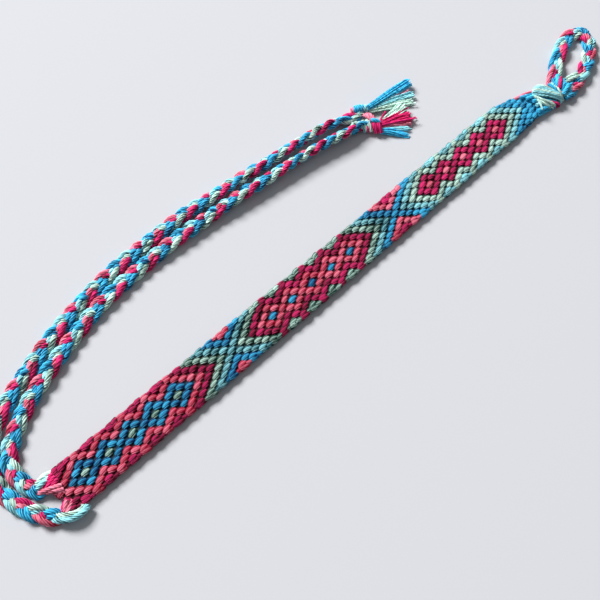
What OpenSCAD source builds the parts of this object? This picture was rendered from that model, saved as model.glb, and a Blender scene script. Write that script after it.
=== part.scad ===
// Knotted friendship bracelet, laid open and flat: a woven band of twelve strings, a braided
// loop tied off with a knot at one end, and two three-strand braided ties at the other, each
// closed by a knot with a fanned tassel. +X runs along the band to the loop, +Z is up.

/* [Woven band] */
// Strings knotted across the band
strings = 12; // [8:2:16]
// Width of band that each string takes
string_pitch = 0.88; // [0.75:0.01:1]
// Length of band that each half row of knots takes
row_pitch = 1.4; // [1.2:0.05:1.7]
// Half rows of knots from one end of the band to the other, with the point at the loop's end
half_rows = 96; // [72:2:112]
// Half rows of those in which the band narrows to its point
point_rows = 5; // [4:1:7]
// Length of the gathered strings between the band's point and the loop's knot
gather_l = 2; // [1.5:0.1:3]
// Thickness of the knotted band
band_t = 1.9; // [1.6:0.1:2.4]
// How far each long edge dips between two edge knots
edge_dip = 0.35; // [0.1:0.05:0.5]
// How far the band's upper and lower edges are rounded in
edge_round = 0.5; // [0.3:0.05:0.7]

/* [Braids] */
// Width of one strand, which is two strings side by side
strand_w = 1.15; // [1:0.05:1.25]
// Thickness of one strand
strand_t = 0.76; // [0.6:0.02:0.8]
// Width of a finished tie
tie_w = 3.3; // [3.2:0.1:3.6]
// Width of the loop's braid
loop_w = 3.3; // [3.2:0.1:3.6]
// Length in which each strand of a tie comes back to the same edge
tie_cycle = 9.6; // [8.8:0.2:12]
// Clear height left where one strand passes over another
strand_gap = 0.44; // [0.42:0.02:0.54]
// How far the ties turn on edge towards their knots, in degrees
tie_roll = 60; // [0:5:90]
// Share of a tie's length at which it starts to turn on edge
roll_from = 0.45; // [0.2:0.05:0.8]

/* [Knots and tassels] */
// Length of the knot below the loop
loop_knot_l = 7.6; // [6.5:0.1:9]
// Width of the knot below the loop
loop_knot_w = 4.8; // [4:0.1:5.6]
// Height of the knot below the loop
loop_knot_h = 3.6; // [3:0.1:4.4]
// Length of the near tie's end knot
near_knot_l = 3.8; // [3.2:0.1:4.2]
// Width of the near tie's end knot
near_knot_w = 5.4; // [4.6:0.1:6]
// Length of the far tie's end knot
far_knot_l = 4.2; // [3.6:0.1:4.6]
// Width of the far tie's end knot
far_knot_w = 3.4; // [3:0.1:4]
// Height of each tie's end knot
end_knot_h = 3; // [2.6:0.1:3.6]
// Reach of the near tassel from the middle of its knot
near_tassel_l = 10; // [8:0.5:12]
// Reach of the far tassel from the middle of its knot
far_tassel_l = 14; // [11:0.5:16]
// Thickness of a lock of the tassels
lock_t = 0.9; // [0.6:0.05:1.2]
// Clear gap between a braid's end or the gathered strings and the knot next to it
seat_gap = 0.15; // [0.1:0.01:0.3]

/* [Hidden] */

// Routes of the ties' middle lines from the middle of the band's tie end
near_route = [
  [-0.5, 2.8], [-2.3, 3.2], [-3.7, 5.0], [-4.3, 8.0], [-3.8, 11.2], [-2.0, 13.7], [0.8, 16.0],
  [4.8, 18.4], [9.7, 20.6], [19.3, 24.0], [29.1, 26.5], [38.9, 27.6], [48.2, 27.9], [57.4, 27.6],
  [66.9, 26.8], [75.6, 25.9], [85.8, 24.8], [94.1, 23.4], [98.4, 22.2], [101.5, 20.8]
];
far_route = [
  [-0.5, -2.8], [-2.0, -3.4], [-3.5, -2.8], [-5.2, -0.5], [-6.7, 2.4], [-7.7, 6.2], [-7.8, 10.0],
  [-6.8, 13.7], [-4.2, 17.2], [-0.9, 19.8], [3.2, 22.1], [8.9, 24.4], [18.8, 27.7], [29.0, 30.1],
  [39.0, 31.3], [48.6, 31.6], [58.0, 31.3], [67.6, 30.4], [76.4, 29.4], [87.5, 28.3], [95.8, 27.1],
  [102.1, 25.7]
];
// Route of the loop's middle line from the far side of its knot
loop_route = [
  [-0.2, -1.5], [2.2, 0.4], [6.2, 2.9], [10.7, 5.2], [15.1, 6.5], [18.1, 6.1], [19.0, 4.2],
  [17.4, 1.6], [14.3, -0.7], [10.7, -2.4], [7.2, -3.5], [4.1, -4.2], [0.6, -4.4]
];

// The band's point and gathered strings, as shares: how far along they lie, and their half width
// and shift of the band's width
gather_rows = [
  [0.46, 0.415, -0.045], [0.84, 0.27, -0.115], [1, 0.19, -0.13]
];

// Locks of the tassels, as shares of their reach: along, across, width at the tip, lift of the tip
near_locks = [
  [0.98, -0.1, 0.22, 0.16], [0.8, -0.43, 0.32, 0.03], [0.48, -0.72, 0.24, 0.01]
];
far_locks = [
  [0.985, -0.2, 0.17, 0.015], [0.815, -0.37, 0.13, 0.01], [0.755, -0.56, 0.185, 0]
];

// Turn of each knot from the band's direction, in degrees, and its wraps
near_knot_turn = -30;
far_knot_turn = -10;
loop_knot_turn = -42;
end_wraps = 2;
loop_wraps = 3;
// Shift of the loop's knot, as a share of the band's width
loop_knot_shift = -0.17;
// Angle at which the ends of a knot are cut off, and the depth of its grooves as a share
knot_nose = 12;
wrap_depth = 0.07;

// Half width of the band's tie end, as a share of its width
end_share = 0.32;
// How soon a tassel's lock comes down to the floor, and how much thinner its tip is
lock_fall = 1.2;
lock_thinning = 0.25;

// Turns of a tie's weave before its first ring, and the loop's turns by length along its route
near_first = 0.06;
far_first = 0.55;
loop_turns = [[0, -0.14], [14, 0.68], [27, 1.9], [44, 3.42]];
// Swing of a braid's strands at its ends, and the length in which they reach their own
tie_fan = 2 * string_pitch / sin(60);
tie_neck = 1;
loop_neck = 1.05;
fan_length = 5;

// Fineness of the solids
rings_per_cycle = 10;
strand_sides = 6;
route_steps = 6;
look_ahead = 0.15;
lock_rings = 5;
knot_rings = 9;
knot_sides = 14;

function unit(v) = v / norm(v);
function smooth(t) = let(c = max(0, min(1, t))) c * c * (3 - 2 * c);
function last(v) = v[len(v) - 1];

// A point on the smooth curve through a route's points, t of the way along its stretch i
function curve_point(r, i, t) = let(
  b = r[i],
  c = r[i + 1],
  a = i > 0 ? r[i - 1] : 2 * b - c,
  d = i + 2 < len(r) ? r[i + 2] : 2 * c - b
) 0.5 * (2 * b + (c - a) * t + (2 * a - 5 * b + 4 * c - d) * t * t + (3 * b - a - 3 * c + d) * t * t * t);

function curve(r) = concat(
  [for (i = [0:len(r) - 2], k = [0:route_steps - 1]) curve_point(r, i, k / route_steps)],
  [last(r)]
);

// Length along a line of points up to each of them
function runs(p) = [
  for (i = 0, s = 0; i < len(p); s = s + norm(p[min(i + 1, len(p) - 1)] - p[i]), i = i + 1) s
];

// A path is three tables: x and y by length, and the whole length
function path(r) = let(p = curve(r), s = runs(p)) [
  [for (i = [0:len(p) - 1]) [s[i], p[i].x]],
  [for (i = [0:len(p) - 1]) [s[i], p[i].y]],
  last(s)
];
function path_at(w, s) = [lookup(s, w[0]), lookup(s, w[1])];
function heading(w, s) = unit(path_at(w, min(s + look_ahead, w[2])) - path_at(w, max(s - look_ahead, 0)));

// A braid is its width, its turns by length, its strands' swing at its start and its end, and how
// far it turns on edge. The functions give the swing to each side, the rise, and how they change
function swing(b) = (b[0] - strand_w) / 2;
function rise() = (strand_t + strand_gap) / (2 * sin(60));
function spread(b, w, s) = 1
  + (b[2] / swing(b) - 1) * (1 - smooth(s / fan_length))
  + (b[3] / swing(b) - 1) * (1 - smooth((w[2] - s) / fan_length));
function roll(b, w, s) = -b[4] * smooth((s / w[2] - roll_from) / (1 - roll_from));
function lift(b, w, s) = let(a = roll(b, w, s))
  (rise() + strand_t / 2) * cos(a) + (swing(b) + strand_w / 2) * abs(sin(a));

// Turn of strand k in the braid's weave, and its middle, s along its path
function weave(b, s, k) = 90 + 360 * lookup(s, b[1]) + 120 * k;
function strand_at(b, w, s, k) = let(
  t = heading(w, s),
  turn = weave(b, s, k),
  side = swing(b) * spread(b, w, s) * sin(turn),
  up = -rise() * sin(2 * turn),
  a = roll(b, w, s),
  q = side * cos(a) - up * sin(a)
) concat(path_at(w, s) + q * [-t.y, t.x], lift(b, w, s) + side * sin(a) + up * cos(a));

// Direction of strand k, which leaves its braid's ends square
function strand_run(b, w, s, k) = s <= 0 || s >= w[2]
  ? concat(heading(w, s), 0)
  : unit(strand_at(b, w, min(s + look_ahead, w[2]), k) - strand_at(b, w, max(s - look_ahead, 0), k));

// One ring of points round strand k
function ring_at(b, w, s, k) = let(
  t = heading(w, s),
  a = roll(b, w, s),
  run = strand_run(b, w, s, k),
  across = unit(cross([t.y * sin(a), -t.x * sin(a), cos(a)], run)),
  over = cross(run, across)
) [
  for (j = [0:strand_sides - 1]) let(g = 360 * j / strand_sides)
    strand_at(b, w, s, k) + across * strand_w / 2 * cos(g) + over * strand_t / 2 * sin(g)
];

// Faces of a solid made of n rings of m points each, closed at both ends
function skin_faces(n, m) = concat(
  [[for (j = [0:m - 1]) j]],
  [
    for (i = [0:n - 2], j = [0:m - 1]) let(e = (j + 1) % m, a = i * m, b = a + m)
      each [[a + j, b + j, b + e], [a + j, b + e, a + e]]
  ],
  [[for (j = [m - 1:-1:0]) (n - 1) * m + j]]
);

module skin(rings) {
  polyhedron(
    points = [for (r = rings) each r],
    faces = skin_faces(len(rings), len(rings[0])),
    convexity = 6
  );
}

module strand(b, w, k) {
  n = round((last(b[1])[1] - b[1][0][1]) * rings_per_cycle);
  skin([for (i = [0:n]) ring_at(b, w, w[2] * i / n, k)]);
}

// Half of what a knot of the given length and width takes in a direction, in degrees from its own
function knot_reach(l, w, turn) = norm([l * cos(turn), w * sin(turn)]) / 2;

// Band: one eight-cornered section at each half row, then its point and the gathered strings
band_w = strings * string_pitch;
band_l = half_rows * row_pitch;
tie_end = -band_l / 2;
full_rows = half_rows - point_rows;
gather_start = tie_end + full_rows * row_pitch;
gather_end = band_l / 2 + gather_l;

function band_half(i) = i == 0 ? band_w * end_share : band_w / 2 - (i % 2 == 0 ? edge_dip : 0);
function band_section(x, half, mid) = [
  [x, mid + half - edge_round, 0], [x, mid + half, edge_round],
  [x, mid + half, band_t - edge_round], [x, mid + half - edge_round, band_t],
  [x, mid - half + edge_round, band_t], [x, mid - half, band_t - edge_round],
  [x, mid - half, edge_round], [x, mid - half + edge_round, 0]
];

module band() {
  color("mediumvioletred") skin(concat(
    [for (i = [0:full_rows]) band_section(tie_end + i * row_pitch, band_half(i), 0)],
    [
      for (g = gather_rows) let(x = gather_start + g[0] * (gather_end - gather_start))
        band_section(x, g[1] * band_w, g[2] * band_w)
    ]
  ));
}

// Places of the knots: the loop's past the gathered strings, each tie's past its own last point
loop_knot_reach = knot_reach(loop_knot_l, loop_knot_w, loop_knot_turn);
loop_knot_at = [gather_end + seat_gap + loop_knot_reach, loop_knot_shift * band_w];
loop_foot = loop_knot_at.x + loop_knot_reach + seat_gap;

function knot_at(r, l, w, turn) = let(
  run = unit(last(r) - r[len(r) - 2]),
  from_run = turn - atan2(run.y, run.x)
) [tie_end, 0] + last(r) + run * (knot_reach(l, w, from_run) + seat_gap);

// Braids
near_path = path(near_route);
far_path = path(far_route);
loop_path = path(loop_route);
function tie_turns(w, first) = [[0, first], [w[2], first + w[2] / tie_cycle]];
near_tie = [tie_w, tie_turns(near_path, near_first), tie_fan, tie_neck, tie_roll];
far_tie = [tie_w, tie_turns(far_path, far_first), tie_fan, tie_neck, tie_roll];
loop_braid = [loop_w, loop_turns, loop_neck, loop_neck, 0];

module near_strand(k) {
  translate([tie_end, 0, 0]) strand(near_tie, near_path, k);
}
module far_strand(k) {
  translate([tie_end, 0, 0]) strand(far_tie, far_path, k);
}
module loop_strand(k) {
  translate([loop_foot, 0, 0]) strand(loop_braid, loop_path, k);
}

module near_tie_pink() { color("deeppink") near_strand(0); }
module near_tie_blue() { color("deepskyblue") near_strand(2); }
module near_tie_mint() { color("aquamarine") near_strand(1); }
module far_tie_pink() { color("deeppink") far_strand(0); }
module far_tie_blue() { color("deepskyblue") far_strand(2); }
module far_tie_mint() { color("aquamarine") far_strand(1); }
module loop_pink() { color("deeppink") loop_strand(0); }
module loop_blue() { color("deepskyblue") loop_strand(2); }
module loop_mint() { color("aquamarine") loop_strand(1); }

// A knot of the given length, width and height along X, standing on the floor, grooved by its wraps
module knot(l, w, h, wraps) {
  skin([
    for (i = [0:knot_rings]) let(f = knot_nose + (180 - 2 * knot_nose) * i / knot_rings) [
      for (j = [0:knot_sides - 1]) let(
        g = 360 * j / knot_sides,
        r = sin(f) * (1 - wrap_depth * (1 + cos(wraps * 360 * i / knot_rings + g)))
      ) [-cos(f) * l / 2, r * w / 2 * cos(g), h / 2 * (1 + r * sin(g))]
    ]
  ]);
}

module loop_knot() {
  color("paleturquoise") translate(loop_knot_at) rotate(loop_knot_turn)
    knot(loop_knot_l, loop_knot_w, loop_knot_h, loop_wraps);
}

// A lock of cut ends from a knot's middle to its spread tip
module lock(tip, reach) {
  end = reach * [tip[0], tip[1]];
  aim = unit(end);
  skin([
    for (i = [0:lock_rings]) let(
      t = i / lock_rings,
      half = (lock_t + (reach * tip[2] - lock_t) * t) / 2,
      thick = lock_t / 2 * (1 - lock_thinning * t),
      fall = smooth(t * lock_fall),
      z = end_knot_h / 2 * (1 - fall) + (lock_t / 2 + reach * tip[3]) * fall
    ) [
      for (g = [0:60:300])
        concat(end * t + [-aim.y, aim.x] * half * cos(g), z + thick * sin(g))
    ]
  ]);
}

module tassel(at, l, w, turn, locks, reach) {
  translate(at) {
    rotate(turn) knot(l, w, end_knot_h, end_wraps);
    for (tip = locks) lock(tip, reach);
  }
}

module near_tassel() {
  at = knot_at(near_route, near_knot_l, near_knot_w, near_knot_turn);
  color("hotpink") tassel(at, near_knot_l, near_knot_w, near_knot_turn, near_locks, near_tassel_l);
}
module far_tassel() {
  at = knot_at(far_route, far_knot_l, far_knot_w, far_knot_turn);
  color("dodgerblue") tassel(at, far_knot_l, far_knot_w, far_knot_turn, far_locks, far_tassel_l);
}

band();
near_tie_pink();
near_tie_blue();
near_tie_mint();
far_tie_pink();
far_tie_blue();
far_tie_mint();
loop_pink();
loop_blue();
loop_mint();
loop_knot();
near_tassel();
far_tassel();
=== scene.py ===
"""Looks of a knotted friendship bracelet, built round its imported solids.

The band is made of small knots, each two wraps of six-ply cotton floss, charted as rows of
diamonds. The loop and the two ties are three-strand braids, each strand two strings side by
side. Every string is swept along its own line, with its plies twisted round it.
"""

import logging
import math
import random
from dataclasses import dataclass, field
from enum import Enum

import bmesh
import bpy
from mathutils import Matrix, Vector

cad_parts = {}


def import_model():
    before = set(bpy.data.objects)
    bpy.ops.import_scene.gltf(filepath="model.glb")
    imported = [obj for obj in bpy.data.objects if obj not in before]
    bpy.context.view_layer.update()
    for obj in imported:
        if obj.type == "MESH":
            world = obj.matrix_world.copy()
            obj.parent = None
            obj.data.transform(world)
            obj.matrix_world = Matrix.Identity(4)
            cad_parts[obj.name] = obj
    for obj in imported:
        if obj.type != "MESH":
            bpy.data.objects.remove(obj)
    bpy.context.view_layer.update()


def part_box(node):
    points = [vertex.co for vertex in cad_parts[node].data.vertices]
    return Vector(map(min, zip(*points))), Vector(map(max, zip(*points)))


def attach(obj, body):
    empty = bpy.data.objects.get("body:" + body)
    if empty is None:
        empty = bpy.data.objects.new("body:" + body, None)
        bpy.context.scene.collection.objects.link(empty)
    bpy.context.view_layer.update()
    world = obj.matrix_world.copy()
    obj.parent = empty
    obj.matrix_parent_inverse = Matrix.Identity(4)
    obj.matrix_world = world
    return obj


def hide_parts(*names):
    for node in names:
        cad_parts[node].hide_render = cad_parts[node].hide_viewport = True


LOG = logging.getLogger("bracelet")
MM = 0.001
FULL_TURN = 2 * math.pi
UPWARD = Vector((0, 0, 1))
SEED = 11
STRING_SHADE = (0.3, 0.8)

Path = list[Vector]
Pair = tuple[float, float]
Triple = tuple[float, float, float]


class Floss(Enum):
    """The five dyed flosses, with the number that a string's points carry."""

    MAGENTA = 0
    CORAL = 1
    AZURE = 2
    AQUA = 3
    MINT = 4


MAGENTA, CORAL, AZURE, AQUA, MINT = Floss
CHART_LETTERS = {"M": MAGENTA, "C": CORAL, "B": AZURE, "A": AQUA, "G": MINT}


def linear(code: str) -> tuple[float, float, float, float]:
    """Turns an sRGB hex colour to linear values.

    Args:
        code: Six hex digits after a hash sign.

    Returns:
        Red, green, blue and an alpha of one.
    """
    shares = [int(code[i : i + 2], 16) / 255 for i in (1, 3, 5)]
    red, green, blue = (
        c / 12.92 if c <= 0.04045 else ((c + 0.055) / 1.055) ** 2.4 for c in shares
    )
    return red, green, blue, 1.0


def grow(
    tree: bpy.types.NodeTree, kind: str, links: dict[str | int, object] | None = None, **settings: object
) -> bpy.types.Node:
    """Adds a node to a tree, with its settings, values and links.

    Args:
        tree: Shader or geometry tree.
        kind: Blender's name for the type of node.
        links: What goes into each input: a node's first output, a socket or a plain value.
        settings: Properties of the node itself.

    Returns:
        The new node.
    """
    node = tree.nodes.new(kind)
    for name, value in settings.items():
        setattr(node, name, value)
    for key, value in (links or {}).items():
        source = value.outputs[0] if isinstance(value, bpy.types.Node) else value
        if isinstance(source, bpy.types.NodeSocket):
            tree.links.new(source, node.inputs[key])
        else:
            node.inputs[key].default_value = source
    return node


def smooth(t: float) -> float:
    """Eases from 0 to 1 as t does, level at both ends."""
    c = max(0.0, min(1.0, t))
    return c * c * (3 - 2 * c)


def lookup(x: float, table: list[Pair]) -> float:
    """Reads a table of x and y with straight lines between its rows.

    Args:
        x: Where to read.
        table: Rows of x and y, with x rising.

    Returns:
        The value there, or the nearest end's.
    """
    if x <= table[0][0]:
        return table[0][1]
    for (x0, y0), (x1, y1) in zip(table, table[1:]):
        if x <= x1:
            return y0 + (y1 - y0) * (x - x0) / (x1 - x0)
    return table[-1][1]


def put(mesh: bpy.types.Mesh, name: str, kind: str, rows: list, scale: float = 1.0) -> None:
    """Gives each point of a mesh its own value, under a name that trees and finishes read.

    Args:
        mesh: The mesh.
        name: Name of the values.
        kind: Blender's name for their type.
        rows: A number or a vector for each point.
        scale: What vectors are multiplied by.
    """
    layer = mesh.attributes.new(name, kind, "POINT")
    if kind == "FLOAT_VECTOR":
        layer.data.foreach_set("vector", [c * scale for row in rows for c in row])
    else:
        layer.data.foreach_set("value", rows)


def rows_of(kind: type, rows: tuple[tuple, ...]) -> tuple:
    """Makes an object from each row, whose columns are the kind's fields in order."""
    return tuple(kind(*row) for row in rows)


def placed(name: str, data: bpy.types.ID) -> bpy.types.Object:
    """Adds an object to the scene.

    Args:
        name: Its name.
        data: Its mesh, camera or light.

    Returns:
        The object, at the origin.
    """
    made = bpy.data.objects.new(name, data)
    bpy.context.scene.collection.objects.link(made)
    return made


def pointing(azimuth_deg: float, height_deg: float) -> Vector:
    """Turns two angles to a direction.

    Args:
        azimuth_deg: Angle from Y towards X.
        height_deg: Angle above the level.

    Returns:
        The direction, one unit long.
    """
    azimuth = math.radians(azimuth_deg)
    height = math.radians(height_deg)
    level = math.cos(height)
    return Vector((math.sin(azimuth) * level, math.cos(azimuth) * level, math.sin(height)))


@dataclass(frozen=True)
class FlossFinish:
    """Mercerised cotton floss of six plies, twisted and dyed, with painted sheen and painted shade.

    The eye sees soft, slightly silky threads: light streaks along each ply, partly fibre and
    partly painted sheen highlights, painted shade in the grooves between the plies, painted shade
    on the low ends of each knot's wraps so that their crowns look lighter, and a dye that is
    deeper in some places than in others. The streaks are wider than real fibres, which would be
    too fine to show. A shade below nought is painted shade, mixed towards black.
    """

    floss: Floss
    light: str
    # The dark end of the colour: deeper dye, and also the colour of the painted shade.
    deep_dye_and_shade: str
    plies: int = 6
    fibres_round: float = 1.5
    fibre_mm: float = 3.2
    dye_patch_mm: float = 2.4
    bump_mm: float = 0.13
    shade_weight: float = 0.6
    # Colour weights: shade and dye are the floss's own tone; the fibre streaks are partly painted sheen;
    # ply grooves and the knots' low ends are painted shade.
    fibre_and_sheen_weight: float = 3.4
    dye_weight: float = 0.6
    ply_groove_shade_weight: float = 0.3
    painted_low_shade_weight: float = 1.1
    depth_start: float = -1.7
    ply_relief: float = 0.3
    fibre_relief: float = 0.9

    @property
    def name(self) -> str:
        """Name of the material."""
        return f"mercerised_cotton_{self.floss.name.lower()}"

    def material(self) -> bpy.types.Material:
        """Builds the finish.

        Returns:
            The material, which reads each string's own weave and shade.
        """
        material = bpy.data.materials.new(self.name)
        material.use_nodes = True
        material.diffuse_color = linear(self.light)
        tree = material.node_tree
        tree.nodes.clear()
        weave, shade, wear, relief = (
            grow(tree, "ShaderNodeAttribute", attribute_name=name).outputs[output]
            for name, output in (("weave", "Vector"), ("shade", "Fac"), ("wear", "Fac"), ("relief", "Fac"))
        )
        place = grow(tree, "ShaderNodeTexCoord").outputs["Object"]
        parts = grow(tree, "ShaderNodeSeparateXYZ", {0: weave}).outputs
        angle = grow(tree, "ShaderNodeMath", {0: parts["Y"], 1: parts["X"]}, operation="ARCTAN2")
        turns = grow(tree, "ShaderNodeMath", {0: angle, 1: float(self.plies)}, operation="MULTIPLY")
        # Painted shade: this ply wave makes each ply's crown lighter and the groove between plies darker;
        # it also shapes the bump.
        ply = grow(tree, "ShaderNodeMath", {0: turns}, operation="COSINE")
        stretch = (self.fibres_round, self.fibres_round, 1 / (self.fibre_mm * MM))
        # Fibre streaks: their light streaks in the colour are partly painted sheen highlights of the silky
        # fibres; they also shape the bump.
        fibre_place = grow(tree, "ShaderNodeMapping", {"Vector": weave, "Scale": stretch})
        links = {"Vector": fibre_place, "Scale": 1.0, "Detail": 2.0, "Roughness": 0.55}
        fibre = grow(tree, "ShaderNodeTexNoise", links).outputs["Fac"]
        links = {"Vector": place, "Scale": 1 / (self.dye_patch_mm * MM), "Detail": 2.0}
        dye = grow(tree, "ShaderNodeTexNoise", links).outputs["Fac"]
        # The mix from deep to light sums the floss's own random tone and dye patches with painted sheen
        # highlights and painted shade.
        depth = self.weighted(
            tree,
            [
                (shade, self.shade_weight),
                (fibre, self.fibre_and_sheen_weight),
                (dye, self.dye_weight),
                (ply, self.ply_groove_shade_weight),
                (wear, self.painted_low_shade_weight),
            ],
            self.depth_start,
        )
        links = {0: depth, 6: linear(self.deep_dye_and_shade), 7: linear(self.light)}
        dyed = grow(tree, "ShaderNodeMix", links, data_type="RGBA")
        # Painted shade: a shade below nought mixes the colour towards black, as on the band's core between
        # the knots.
        painted_shade_gain = grow(tree, "ShaderNodeMath", {0: shade, 1: 1.0}, operation="ADD", use_clamp=True)
        links = {0: painted_shade_gain, 6: (0.0, 0.0, 0.0, 1.0), 7: dyed.outputs[2]}
        colour = grow(tree, "ShaderNodeMix", links, data_type="RGBA")
        rough = self.weighted(tree, [(ply, self.ply_relief), (fibre, self.fibre_relief)], 0.0)
        height = grow(tree, "ShaderNodeMath", {0: rough, 1: relief}, operation="MULTIPLY")
        links = {"Height": height, "Strength": 0.9, "Distance": self.bump_mm * MM}
        bump = grow(tree, "ShaderNodeBump", links)
        shader = grow(
            tree,
            "ShaderNodeBsdfPrincipled",
            {
                "Base Color": colour.outputs[2],
                "Roughness": 0.62,
                "IOR": 1.5,
                "Specular IOR Level": 0.14,
                "Sheen Weight": 0.04,
                "Sheen Roughness": 0.5,
                "Normal": bump,
            },
        )
        grow(tree, "ShaderNodeOutputMaterial", {"Surface": shader})
        return material

    @staticmethod
    def weighted(tree: bpy.types.NodeTree, terms: list[tuple[object, float]], start: float) -> object:
        """Adds up sockets, each times its weight.

        Args:
            tree: The material's tree.
            terms: Each socket, or node for its first output, with its weight.
            start: What is added to the sum.

        Returns:
            The node that gives the sum.
        """
        total: object = start
        for source, weight in terms:
            links = {0: source, 1: weight, 2: total}
            total = grow(tree, "ShaderNodeMath", links, operation="MULTIPLY_ADD")
        return total


FINISHES = (
    FlossFinish(MAGENTA, light="#F02C7A", deep_dye_and_shade="#460012"),
    FlossFinish(CORAL, light="#FF92AC", deep_dye_and_shade="#98062C"),
    FlossFinish(AZURE, light="#48D0FF", deep_dye_and_shade="#003462"),
    FlossFinish(AQUA, light="#A6F4FE", deep_dye_and_shade="#003C46"),
    FlossFinish(MINT, light="#DAFFF0", deep_dye_and_shade="#123C32"),
)


@dataclass(frozen=True)
class PaperFinish:
    """Matt white card, which scatters the light and shows soft shadows."""

    colour: str = "#BEBFC3"

    def material(self) -> bpy.types.Material:
        """Builds the finish.

        Returns:
            The floor's material.
        """
        material = bpy.data.materials.new("matt_white_card")
        material.use_nodes = True
        shader = material.node_tree.nodes["Principled BSDF"]
        shader.inputs["Base Color"].default_value = linear(self.colour)
        shader.inputs["Roughness"].default_value = 0.9
        return material


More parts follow.
